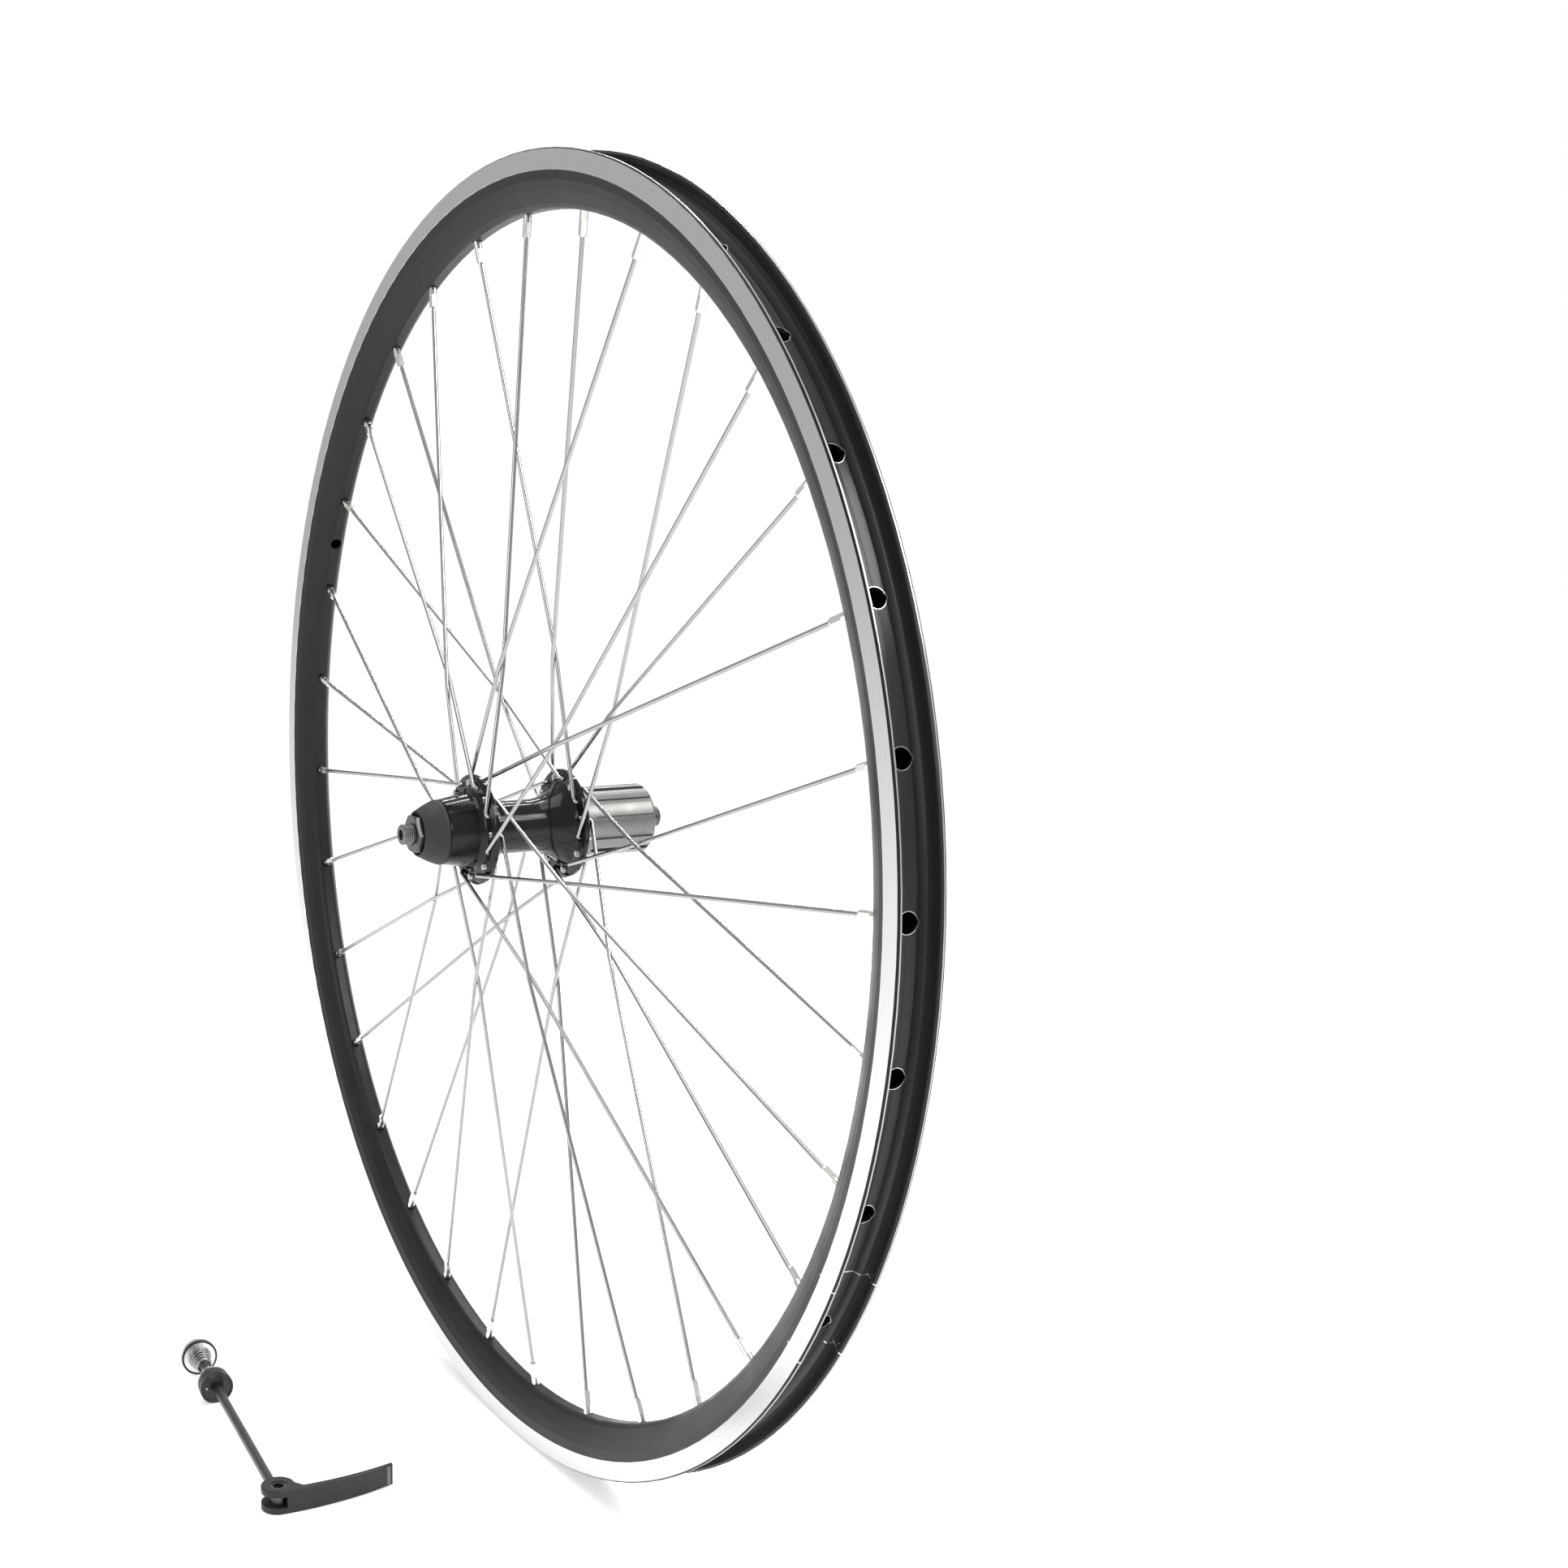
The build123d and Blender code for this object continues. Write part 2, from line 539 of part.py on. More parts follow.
with BuildPart() as skewer_rod:
    revolve(rod_section((-2.6, 0.0), (-2.6, ROD_R), (ROD_TIP_S - 0.7, ROD_R),
                        (ROD_TIP_S, ROD_R - 0.7), (ROD_TIP_S, 0.0)), axis=rod_axis)
save(skewer_rod, "skewer_rod")

with BuildPart() as cam_barrel:
    with BuildSketch(flat):
        Circle(BARREL_PIN_R)
    extrude(amount=FORK_HALF_H - 0.4, both=True)
    with BuildSketch(flat.offset(FORK_HALF_H - 2.4)):
        RegularPolygon(2.5, 6, major_radius=False)
    extrude(amount=3, mode=Mode.SUBTRACT)
    revolve(rod_section((-2.6, 0.0), (-2.6, ROD_R), (8.0, ROD_R), (8.0, 0.0)), axis=rod_axis,
            mode=Mode.SUBTRACT)
save(cam_barrel, "cam_barrel")

arm_start = EYE_R - CAM_THROW


def lever_outer(y):
    """Outer face of the lever at a distance from the cam: an arc that leaves the eye tangentially."""
    return arm_start - LEVER_ARC_R + sqrt(LEVER_ARC_R ** 2 - y ** 2)


def lever_inner(y):
    """Inner face: the arm thins from root to tip."""
    return lever_outer(y) - (3.8 - 1.5 * y / LEVER_LEN)


strip_y = LEVER_LEN - 2.2
with BuildPart() as skewer_lever:
    with BuildSketch(flat):
        with Locations((-CAM_THROW, 0)):
            Circle(EYE_R)
    extrude(amount=FORK_HALF_H, both=True)
    with BuildSketch(flat):
        with BuildLine():
            ThreePointArc((lever_outer(0), 0), (lever_outer(29), 29), (lever_outer(LEVER_LEN), LEVER_LEN))
            Line((lever_outer(LEVER_LEN), LEVER_LEN), (lever_inner(LEVER_LEN), LEVER_LEN - 0.3))
            ThreePointArc((lever_inner(LEVER_LEN), LEVER_LEN - 0.3), (lever_inner(34), 34),
                          (lever_inner(11), 11))
            Polyline((lever_inner(11), 11), (-0.6, 7.6), (0, 0), (lever_outer(0), 0))
        make_face()
    extrude(amount=FORK_HALF_H, both=True)
    # the arm narrows a little towards its tip
    for up in (1, -1):
        with BuildSketch(Plane(origin=PIVOT + away_dir * 10, x_dir=side_dir, z_dir=-away_dir)):
            with BuildLine():
                Polyline((12.0, up * FORK_HALF_H), (LEVER_LEN + 2, up * (FORK_HALF_H - 0.6)),
                         (LEVER_LEN + 2, up * (FORK_HALF_H + 2)), (12.0, up * (FORK_HALF_H + 2)),
                         close=True)
            make_face()
        extrude(amount=24, mode=Mode.SUBTRACT)
    # slot for the rod: open on the rod's side, round the end and on the outer side
    with BuildSketch(flat):
        with BuildLine():
            Polyline((-12, 2.6), (-12, -12), (12, -12), (12, 2.6), close=True)
        make_face()
        Circle(BARREL_PIN_R + 0.3)
    extrude(amount=SLOT_HALF_H, both=True, mode=Mode.SUBTRACT)
    with BuildSketch(flat):
        Circle(BARREL_PIN_R + RUN)
    extrude(amount=FORK_HALF_H + 1, both=True, mode=Mode.SUBTRACT)
    # pocket for the strip at the tip
    with BuildSketch(Plane(origin=PIVOT + side_dir * strip_y + away_dir * (lever_outer(strip_y) - 0.5),
                           x_dir=side_dir, z_dir=away_dir)):
        Rectangle(1.8, 9.4)
    extrude(amount=2, mode=Mode.SUBTRACT)
    chamfer([edge for edge in skewer_lever.edges() if edge.length > 35], LEVER_EDGE)
save(skewer_lever, "skewer_lever")

with BuildPart() as lever_tip_strip:
    with BuildSketch(Plane(origin=PIVOT + side_dir * strip_y + away_dir * (lever_outer(strip_y) - 0.5),
                           x_dir=side_dir, z_dir=away_dir)):
        Rectangle(1.7, 9.3)
    extrude(amount=0.6)
save(lever_tip_strip, "lever_tip_strip")

# thrust cap that the cam presses on the frame
cap_back = CAP_S + 8.7
with BuildPart() as thrust_cap:
    revolve(rod_section((CAP_S + 0.7, ROD_R + RUN), (CAP_S + 0.7, 7.7), (CAP_S, 7.9), (CAP_S, 8.6),
                        (CAP_S + 0.3, CAP_R), (CAP_S + 3.4, CAP_R), (CAP_S + 3.8, 8.4),
                        (CAP_S + 4.6, 8.4), (CAP_S + 5.0, 8.7), (cap_back - 0.5, 8.7), (cap_back, 8.2),
                        (cap_back, 7.2), (cap_back - 0.8, 7.0), (cap_back - 0.8, ROD_R + RUN)),
            axis=rod_axis)
    with BuildSketch(flat.offset(-15)):
        with Locations((-(CAP_S + 1.5 - SEAT_R), 0)):
            Circle(SEAT_R)
    extrude(amount=30, mode=Mode.SUBTRACT)
save(thrust_cap, "thrust_cap")


def cone_spring(s_large, s_small, r_large, r_small):
    """Envelope of a conical coil spring: a thin conical sleeve round the rod."""
    wire = 1.0
    with BuildPart() as spring:
        revolve(rod_section((s_large, r_large), (s_small, r_small), (s_small, r_small - wire),
                            (s_large, r_large - wire)), axis=rod_axis)
    return spring


save(cone_spring(cap_back - 0.8, 149.5, 6.8, 4.0), "cap_spring")
save(cone_spring(NUT_S + 0.2, 158.6, 6.5, 4.0), "nut_spring")

# adjusting nut: dark body, bright clamping face, plastic locking insert
face_back = NUT_S + 1.6
nut_end = 181.8
with BuildPart() as skewer_nut:
    revolve(rod_section((NUT_S, 8.7), (NUT_S, NUT_R - 0.3), (NUT_S + 0.3, NUT_R),
                        (NUT_S + 3.0, NUT_R), (NUT_S + 4.2, 9.0), (nut_end - 1.0, 7.3),
                        (nut_end, 6.3), (nut_end, 4.4), (nut_end - 2.2, 4.4),
                        (nut_end - 2.2, ROD_R + RUN), (face_back, ROD_R + RUN), (face_back, 8.7)),
            axis=rod_axis)
    grip_plane = Plane(origin=PIVOT - away_dir * (NUT_S + 4.4), x_dir=side_dir, z_dir=-away_dir)
    with BuildSketch(grip_plane):
        with PolarLocations(11.0, 8):
            Circle(2.9)
    extrude(amount=10, mode=Mode.SUBTRACT)
save(skewer_nut, "skewer_nut")

with BuildPart() as nut_face_ring:
    revolve(rod_section((NUT_S + 0.2, ROD_R + RUN), (NUT_S + 0.2, 8.65), (face_back, 8.65),
                        (face_back, ROD_R + RUN)), axis=rod_axis)
save(nut_face_ring, "nut_face_ring")

with BuildPart() as nut_lock_insert:
    revolve(rod_section((nut_end - 2.15, ROD_R + RUN), (nut_end - 2.15, 4.35), (nut_end - 0.3, 4.35),
                        (nut_end - 0.3, ROD_R + RUN)), axis=rod_axis)
save(nut_lock_insert, "nut_lock_insert")
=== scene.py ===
"""Looks of a rear road-bicycle wheel and its quick-release skewer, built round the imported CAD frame.

Metres, in the CAD frame: origin in the middle of the axle, +Y to the drive side, +Z up.
"""
import json
from math import cos, pi, radians, sin, tau

import bpy
from mathutils import Matrix, Vector


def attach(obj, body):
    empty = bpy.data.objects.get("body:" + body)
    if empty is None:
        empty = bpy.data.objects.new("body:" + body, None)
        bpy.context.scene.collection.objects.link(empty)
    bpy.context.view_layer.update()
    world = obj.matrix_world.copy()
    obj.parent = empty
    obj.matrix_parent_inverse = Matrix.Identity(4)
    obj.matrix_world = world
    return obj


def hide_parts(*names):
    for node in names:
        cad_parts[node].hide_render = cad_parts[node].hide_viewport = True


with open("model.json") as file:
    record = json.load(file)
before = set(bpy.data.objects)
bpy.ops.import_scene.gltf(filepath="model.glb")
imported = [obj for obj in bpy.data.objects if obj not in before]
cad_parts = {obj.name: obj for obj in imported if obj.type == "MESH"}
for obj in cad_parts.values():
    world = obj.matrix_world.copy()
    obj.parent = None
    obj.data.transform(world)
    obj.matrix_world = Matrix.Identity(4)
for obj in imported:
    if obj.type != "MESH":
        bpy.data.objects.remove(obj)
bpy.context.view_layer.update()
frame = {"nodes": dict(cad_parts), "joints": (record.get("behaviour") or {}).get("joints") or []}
MM = 0.001

# ---------------------------------------------------------------- sizes shared with the CAD
RIM_R = 317.0 * MM
TRACK_IN_R = 307.2 * MM
RIM_HALF_W = 11.0 * MM
BED_IN_R = 306.2 * MM             # all of the tyre bed lies outside this radius
HOOK_Y = 9.7 * MM                 # middle of the tyre edges
WELL_Y = 5.7 * MM                 # where the tyre bed drops to its well
SPOKES = 32
FIRST_RIM_HOLE = radians(10.35)
PITCH = tau / SPOKES
VALVE_ANGLE = FIRST_RIM_HOLE + 25.5 * PITCH
JOINT_ANGLE = VALVE_ANGLE - pi
MARK_ANGLE = radians(125.0)       # two short scratches across the tyre bed
ACCESS_HOLE_R = 4.25 * MM
FLOOR_Z = -RIM_R
AXLE_HALF = 70.5 * MM
AXLE_CREST_R = 4.99 * MM
AXLE_ROOT_R = 4.6 * MM
AXLE_BORE_R = 2.6 * MM
AXLE_PITCH = 1.0 * MM
LOCKNUT_FACE = 65.0 * MM          # outer faces of the locknuts, either side of the middle
ROD_R = 2.5 * MM
ROD_PITCH = 0.8 * MM
ROD_THREAD = 26.0 * MM
# places along the rod, from the cam pivot
ROD_START = -2.6 * MM
ROD_TIP = 183.5 * MM
CAP_FACE = 129.7 * MM
NUT_FACE = 170.8 * MM
NUT_RING = 1.35 * MM              # depth of the nut's black front ring
SPRING_WIRE_R = 0.45 * MM
SPRING_TURNS = 6.5

# ---------------------------------------------------------------- view
CAMERA_PLACE = (0.92963, -0.46468, 0.15535)
CAMERA_BACK = (0.88076, -0.44022, 0.17456)   # from what the camera looks at, back to the camera
CAMERA_LENS = 48.79
CAMERA_SHIFT = (0.1606, 0.0630)
FLOOR_HALF = 6.0

skewer_joint = next(j for j in frame["joints"] if j["name"] == "cap_slide")
lever_joint = next(j for j in frame["joints"] if j["name"] == "lever_turn")
AWAY = Vector(skewer_joint["axis"]).normalized()
LIFT = -Vector(lever_joint["axis"]).normalized()
SIDE = LIFT.cross(AWAY)
PIVOT = Vector(lever_joint["pos_m"])


# ================================================================ camera, floor and light
def make_camera():
    data = bpy.data.cameras.new("camera")
    camera = bpy.data.objects.new("camera", data)
    bpy.context.collection.objects.link(camera)
    bpy.context.scene.camera = camera
    camera.location = CAMERA_PLACE
    camera.rotation_mode = "QUATERNION"
    camera.rotation_quaternion = Vector(CAMERA_BACK).to_track_quat("Z", "Y")
    data.sensor_width = 36
    data.lens = CAMERA_LENS
    data.shift_x, data.shift_y = CAMERA_SHIFT
    data.clip_start = 0.01
    data.clip_end = 50


def make_floor():
    """White sheet that glows a little, so that it meets the background without an edge."""
    mesh = bpy.data.meshes.new("floor")
    corners = [(-FLOOR_HALF, -FLOOR_HALF), (FLOOR_HALF, -FLOOR_HALF),
               (FLOOR_HALF, FLOOR_HALF), (-FLOOR_HALF, FLOOR_HALF)]
    mesh.from_pydata([(x, y, FLOOR_Z) for x, y in corners], [], [(0, 1, 2, 3)])
    floor = bpy.data.objects.new("floor", mesh)
    bpy.context.collection.objects.link(floor)
    paint = Surface("floor_paint", (0.85, 0.85, 0.85), 1.0, Emission_Color=(1, 1, 1, 1),
                    Emission_Strength=0.5, Specular_IOR_Level=0.0)
    mesh.materials.append(paint.material)


def area_light(name, place, size, power):
    """Panel that faces the hub; the second of its two sizes is the one along the axle."""
    data = bpy.data.lights.new(name, "AREA")
    data.shape = "RECTANGLE"
    data.size, data.size_y = size
    data.energy = power
    light = bpy.data.objects.new(name, data)
    bpy.context.collection.objects.link(light)
    light.location = place
    back = Vector(place).normalized()
    along = (Vector((0, 1, 0)) - back * back.y).normalized()
    light.rotation_mode = "QUATERNION"
    light.rotation_quaternion = Matrix((along.cross(back), along, back)).transposed().to_quaternion()


def make_light():
    """White world, a little weaker as light than as background, and five soft panels."""
    scene = bpy.context.scene
    scene.view_settings.view_transform = "Standard"
    world = bpy.data.worlds.new("studio")
    scene.world = world
    world.use_nodes = True
    tree = world.node_tree
    tree.nodes.clear()
    output = tree.nodes.new("ShaderNodeOutputWorld")
    seen = tree.nodes.new("ShaderNodeBackground")
    seen.inputs["Color"].default_value = (1, 1, 1, 1)
    fill = tree.nodes.new("ShaderNodeBackground")
    fill.inputs["Strength"].default_value = 0.75
    path = tree.nodes.new("ShaderNodeLightPath")
    mix = tree.nodes.new("ShaderNodeMixShader")
    tree.links.new(path.outputs["Is Camera Ray"], mix.inputs["Fac"])
    tree.links.new(fill.outputs[0], mix.inputs[1])
    tree.links.new(seen.outputs[0], mix.inputs[2])
    tree.links.new(mix.outputs[0], output.inputs["Surface"])
    area_light("top", (-0.1, -0.1, 1.6), (1.3, 1.3), 14)
    area_light("broad", (1.05, 0.75, 1.1), (0.6, 1.0), 20)
    area_light("thin_near", (-0.65, 0.75, 1.37), (0.05, 1.1), 8)
    area_light("thin_far", (-1.15, 0.75, 1.0), (0.04, 1.1), 7)
    area_light("left", (0.3, -1.7, 0.5), (1.0, 0.5), 6)


# ================================================================ materials
class Surface:
    """Procedural material round one Principled shader."""

    def __init__(self, name, colour, roughness, metallic=0.0, **more):
        self.material = bpy.data.materials.new(name)
        self.material.use_nodes = True
        self.tree = self.material.node_tree
        self.shader = self.tree.nodes["Principled BSDF"]
        self.set("Base Color", (*colour, 1))
        self.set("Roughness", roughness)
        self.set("Metallic", metallic)
        for socket, value in more.items():
            self.set(socket.replace("_", " "), value)
        self.coordinates = None

    def set(self, socket, value):
        self.shader.inputs[socket].default_value = value

    def drive(self, socket, source):
        self.tree.links.new(source, self.shader.inputs[socket])

    def node(self, kind, *sources, output=0, **settings):
        """New node: settings are its attributes, sources fill its inputs in order."""
        made = self.tree.nodes.new("ShaderNode" + kind)
        for key, value in settings.items():
            setattr(made, key, value)
        for socket, source in zip(made.inputs, sources):
            if source is None:
                continue
            if hasattr(source, "is_linked"):
                self.tree.links.new(source, socket)
            else:
                socket.default_value = source
        return made.outputs[output]

    def math(self, operation, first, second=None):
        return self.node("Math", first, second, operation=operation)

    def times(self, first, second):
        return self.math("MULTIPLY", first, second)

    def top(self, first, second):
        return self.math("MAXIMUM", first, second)

    def place(self):
        """Object coordinates, which are the frame's own."""
        if self.coordinates is None:
            self.coordinates = self.node("TexCoord", output=3)
        return self.coordinates

    def noise(self, scale, detail=3.0, vector=None):
        made = self.tree.nodes.new("ShaderNodeTexNoise")
        self.tree.links.new(vector or self.place(), made.inputs["Vector"])
        made.inputs["Scale"].default_value = scale
        made.inputs["Detail"].default_value = detail
        return made.outputs["Fac"]

    def remap(self, value, low, high, to_low=0.0, to_high=1.0):
        return self.node("MapRange", value, low, high, to_low, to_high)

    def mix(self, factor, first, second):
        """Colour mix; first and second are colours of three numbers or sockets."""
        made = self.tree.nodes.new("ShaderNodeMix")
        made.data_type = "RGBA"
        self.tree.links.new(factor, made.inputs[0])
        for index, source in ((6, first), (7, second)):
            if hasattr(source, "is_linked"):
                self.tree.links.new(source, made.inputs[index])
            else:
                made.inputs[index].default_value = (*source, 1)
        return made.outputs[2]

    def blend(self, factor, first, second):
        """Number mix."""
        made = self.tree.nodes.new("ShaderNodeMix")
        made.data_type = "FLOAT"
        self.tree.links.new(factor, made.inputs[0])
        for index, source in ((2, first), (3, second)):
            if hasattr(source, "is_linked"):
                self.tree.links.new(source, made.inputs[index])
            else:
                made.inputs[index].default_value = source
        return made.outputs[0]

    def bump(self, height, distance, strength=1.0):
        made = self.tree.nodes.new("ShaderNodeBump")
        made.inputs["Strength"].default_value = strength
        made.inputs["Distance"].default_value = distance
        self.tree.links.new(height, made.inputs["Height"])
        self.drive("Normal", made.outputs[0])

    def axes(self):
        """x, y and z of the frame, and the distance from the axle's line."""
        x, y, z = self.components(self.place())
        return x, y, z, self.length(x, z)

    def length(self, first, second):
        """Length of the vector with these two components."""
        return self.math("SQRT", self.math("ADD", self.times(first, first), self.times(second, second)))

    def components(self, vector):
        split = self.tree.nodes.new("ShaderNodeSeparateXYZ")
        self.tree.links.new(vector, split.inputs[0])
        return tuple(split.outputs)

    def dot(self, first, second):
        """Dot product of a vector of numbers or sockets with a vector of numbers."""
        if not hasattr(first[0], "is_linked"):
            return float(Vector(first).dot(Vector(second)))
        parts = [self.times(socket, float(value)) for socket, value in zip(first, second)]
        return self.math("ADD", self.math("ADD", parts[0], parts[1]), parts[2])

    def step(self, value, edge, soft):
        """0 below the edge and 1 above it, over a soft width."""
        return self.remap(value, edge - soft / 2, edge + soft / 2)

    def drop(self, value, edge, soft):
        """1 below the edge and 0 above it, over a soft width."""
        return self.math("SUBTRACT", 1.0, self.step(value, edge, soft))

    def stripe(self, value, middle, half, soft):
        """1 within half a width of the middle and 0 outside, over a soft width."""
        off = self.math("SUBTRACT", value, middle) if middle else value
        return self.drop(self.math("ABSOLUTE", off), half, soft)

    def wear(self, low, high, scale=60.0):
        """Roughness that varies a little over the surface, as handling leaves it."""
        self.drive("Roughness", self.remap(self.noise(scale), 0.3, 0.7, low, high))


def dress(node, surface):
    """Give one CAD node a material."""
    mesh = frame["nodes"][node].data
    mesh.materials.clear()
    mesh.materials.append(surface.material)


def rim_surface():
    """Black anodised rim with machined brake tracks, bright hole edges, seam, a painted highlight along
    the tyre edges, and painted sheen and a painted highlight streak on the tyre bed.
    """
    s = Surface("rim_anodised", (0.012, 0.012, 0.013), 0.35, Specular_IOR_Level=0.2)
    x, y, z, radius = s.axes()
    off_centre = s.math("ABSOLUTE", y)
    edge = 0.1 * MM
    track = s.times(s.step(radius, TRACK_IN_R + 0.15 * MM, edge), s.drop(radius, RIM_R - 0.75 * MM, edge))
    track = s.times(track, s.step(off_centre, RIM_HALF_W - 0.5 * MM, edge))
    on_bed = s.step(radius, BED_IN_R, 0.2 * MM)
    angle = s.math("ARCTAN2", x, z)

    def off_line(at, spacing=tau):
        """Distance round the rim from the nearest of the lines at angles at + k * spacing."""
        past_line = s.math("SUBTRACT", angle, at - spacing / 2 - tau)
        turns = s.math("FRACT", s.math("DIVIDE", past_line, spacing))
        return s.times(s.math("SUBTRACT", turns, 0.5), s.times(radius, spacing))

    from_hole = s.length(off_line(FIRST_RIM_HOLE, PITCH), y)
    hole_edge = s.drop(from_hole, ACCESS_HOLE_R + 0.28 * MM, 0.12 * MM)
    seam = s.stripe(off_line(JOINT_ANGLE), 0.0, 0.3 * MM, 0.2 * MM)
    dash = s.stripe(off_line(MARK_ANGLE), 0.0, 0.4 * MM, 0.2 * MM)
    dash = s.times(dash, s.step(off_centre, 5.2 * MM, 0.3 * MM))
    bare = s.times(on_bed, s.top(hole_edge, s.top(seam, dash)))

    # turning marks of the brake track: noise that changes with the radius only
    rings = s.noise(1.0, 2.0, s.node("CombineXYZ", s.times(radius, 9000.0), 0.0, 0.0))
    wide_rings = s.noise(1.0, 1.0, s.node("CombineXYZ", s.times(radius, 1400.0), 0.0, 0.0))
    silver = s.mix(s.times(rings, wide_rings), (0.5, 0.5, 0.5), (0.95, 0.95, 0.95))

    # painted sheen: the tyre bed's black is a little paler than the slopes' black, and a soft painted
    # highlight streak lies where the bed drops to its well
    blotch = s.noise(45.0, 4.0)
    bed = s.times(s.step(radius, BED_IN_R + 0.7 * MM, 0.3 * MM), s.drop(off_centre, HOOK_Y, edge))
    # painted sheen: the paler black of the tyre bed stands in for its glossier reflection; the slopes keep
    # the darker black
    black = s.mix(bed, s.mix(blotch, (0.008, 0.008, 0.0085), (0.014, 0.014, 0.015)),
                  s.mix(blotch, (0.024, 0.024, 0.025), (0.032, 0.032, 0.033)))
    # painted highlight: a pale streak along the bed where it drops to its well, uneven in strength round
    # the rim
    painted_highlight_band = s.stripe(off_centre, WELL_Y, 0.7 * MM, 1.4 * MM)
    highlight_unevenness = s.remap(s.noise(7.0, 1.0), 0.35, 0.65, 0.2, 0.8)
    black = s.mix(s.times(s.times(painted_highlight_band, on_bed), highlight_unevenness), black, (0.09, 0.09, 0.092))

    # painted highlight: a thin light metallic line along the top of each tyre edge, where the rounded edge
    # would catch the light
    hook_highlight = s.times(s.stripe(off_centre, HOOK_Y, 0.3 * MM, 0.15 * MM),
                   s.step(radius, RIM_R - 0.3 * MM, edge))
    # the metallic areas are the bare metal of tracks, hole edges, seam and scratches, plus the painted
    # highlight on the tyre edges
    shiny = s.top(track, s.top(bare, s.times(hook_highlight, 0.7)))
    s.drive("Base Color", s.mix(shiny, black, silver))
    s.drive("Metallic", shiny)
    slope_rough = s.remap(blotch, 0.3, 0.7, 0.30, 0.40)
    bed_rough = s.remap(blotch, 0.3, 0.7, 0.16, 0.24)
    track_rough = s.remap(rings, 0.3, 0.7, 0.16, 0.34)
    s.drive("Roughness", s.blend(track, s.blend(bed, slope_rough, bed_rough), track_rough))
    grain = s.math("ADD", rings, s.noise(4000.0, 1.0))
    s.bump(s.math("ADD", grain, s.times(seam, 6.0)), 0.01 * MM, 0.5)
    return s


def simple_metal(name, colour, rough, low, high, grain=2500.0, metallic=1.0, **more):
    """Plain metal with uneven roughness and a fine grain."""
    s = Surface(name, colour, rough, metallic, **more)
    s.wear(low, high)
    dark = tuple(c * 0.8 for c in colour)
    s.drive("Base Color", s.mix(s.noise(180.0, 5.0), dark, colour))
    s.bump(s.noise(grain, 2.0), 0.004 * MM, 0.4)
    return s


def gloss_black():
    """Polished black anodising of the hub shell."""
    s = Surface("hub_gloss_black", (0.006, 0.006, 0.0065), 0.12, Specular_IOR_Level=0.28)
    s.wear(0.08, 0.16, 90.0)
    s.drive("Base Color", s.mix(s.noise(120.0, 4.0), (0.004, 0.004, 0.0045), (0.009, 0.009, 0.01)))
    s.bump(s.noise(500.0, 2.0), 0.004 * MM, 0.25)
    return s


def nut_surface():
    """Black front ring, bright plated body behind it."""
    s = Surface("nut_two_tone", (0.02, 0.02, 0.02), 0.35)
    x, y, z = s.components(s.place())
    along = s.math("SUBTRACT", s.dot(PIVOT, AWAY), s.dot((x, y, z), AWAY))
    plated = s.step(along, NUT_FACE + NUT_RING, 0.1 * MM)
    grain = s.noise(220.0, 5.0)
    silver = s.mix(grain, (0.5, 0.5, 0.5), (0.72, 0.72, 0.72))
    s.drive("Base Color", s.mix(plated, (0.014, 0.014, 0.015), silver))
    s.drive("Metallic", plated)
    s.drive("Roughness", s.remap(grain, 0.3, 0.7, 0.24, 0.42))
    s.bump(s.noise(2400.0, 2.0), 0.006 * MM, 0.4)
    return s


def lever_surface():
    """Matt black coating with a fine light speckle."""
    s = Surface("lever_black", (0.014, 0.014, 0.015), 0.45, Specular_IOR_Level=0.35)
    fleck = s.remap(s.noise(2600.0, 2.0), 0.63, 0.72)
    coat = s.mix(s.noise(90.0, 4.0), (0.011, 0.011, 0.012), (0.019, 0.019, 0.02))
    s.drive("Base Color", s.mix(fleck, coat, (0.07, 0.07, 0.07)))
    s.wear(0.38, 0.52, 120.0)
    s.bump(s.noise(3200.0, 3.0), 0.012 * MM, 0.6)
    return s


def rubber():
    """Dull grey-black rubber with a fine grain."""
    s = Surface("boot_rubber", (0.025, 0.025, 0.025), 0.6, Specular_IOR_Level=0.35)
    s.wear(0.5, 0.72, 150.0)
    s.drive("Base Color", s.mix(s.noise(300.0, 5.0), (0.016, 0.016, 0.016), (0.032, 0.032, 0.032)))
    s.bump(s.noise(2600.0, 3.0), 0.02 * MM, 0.6)
    return s


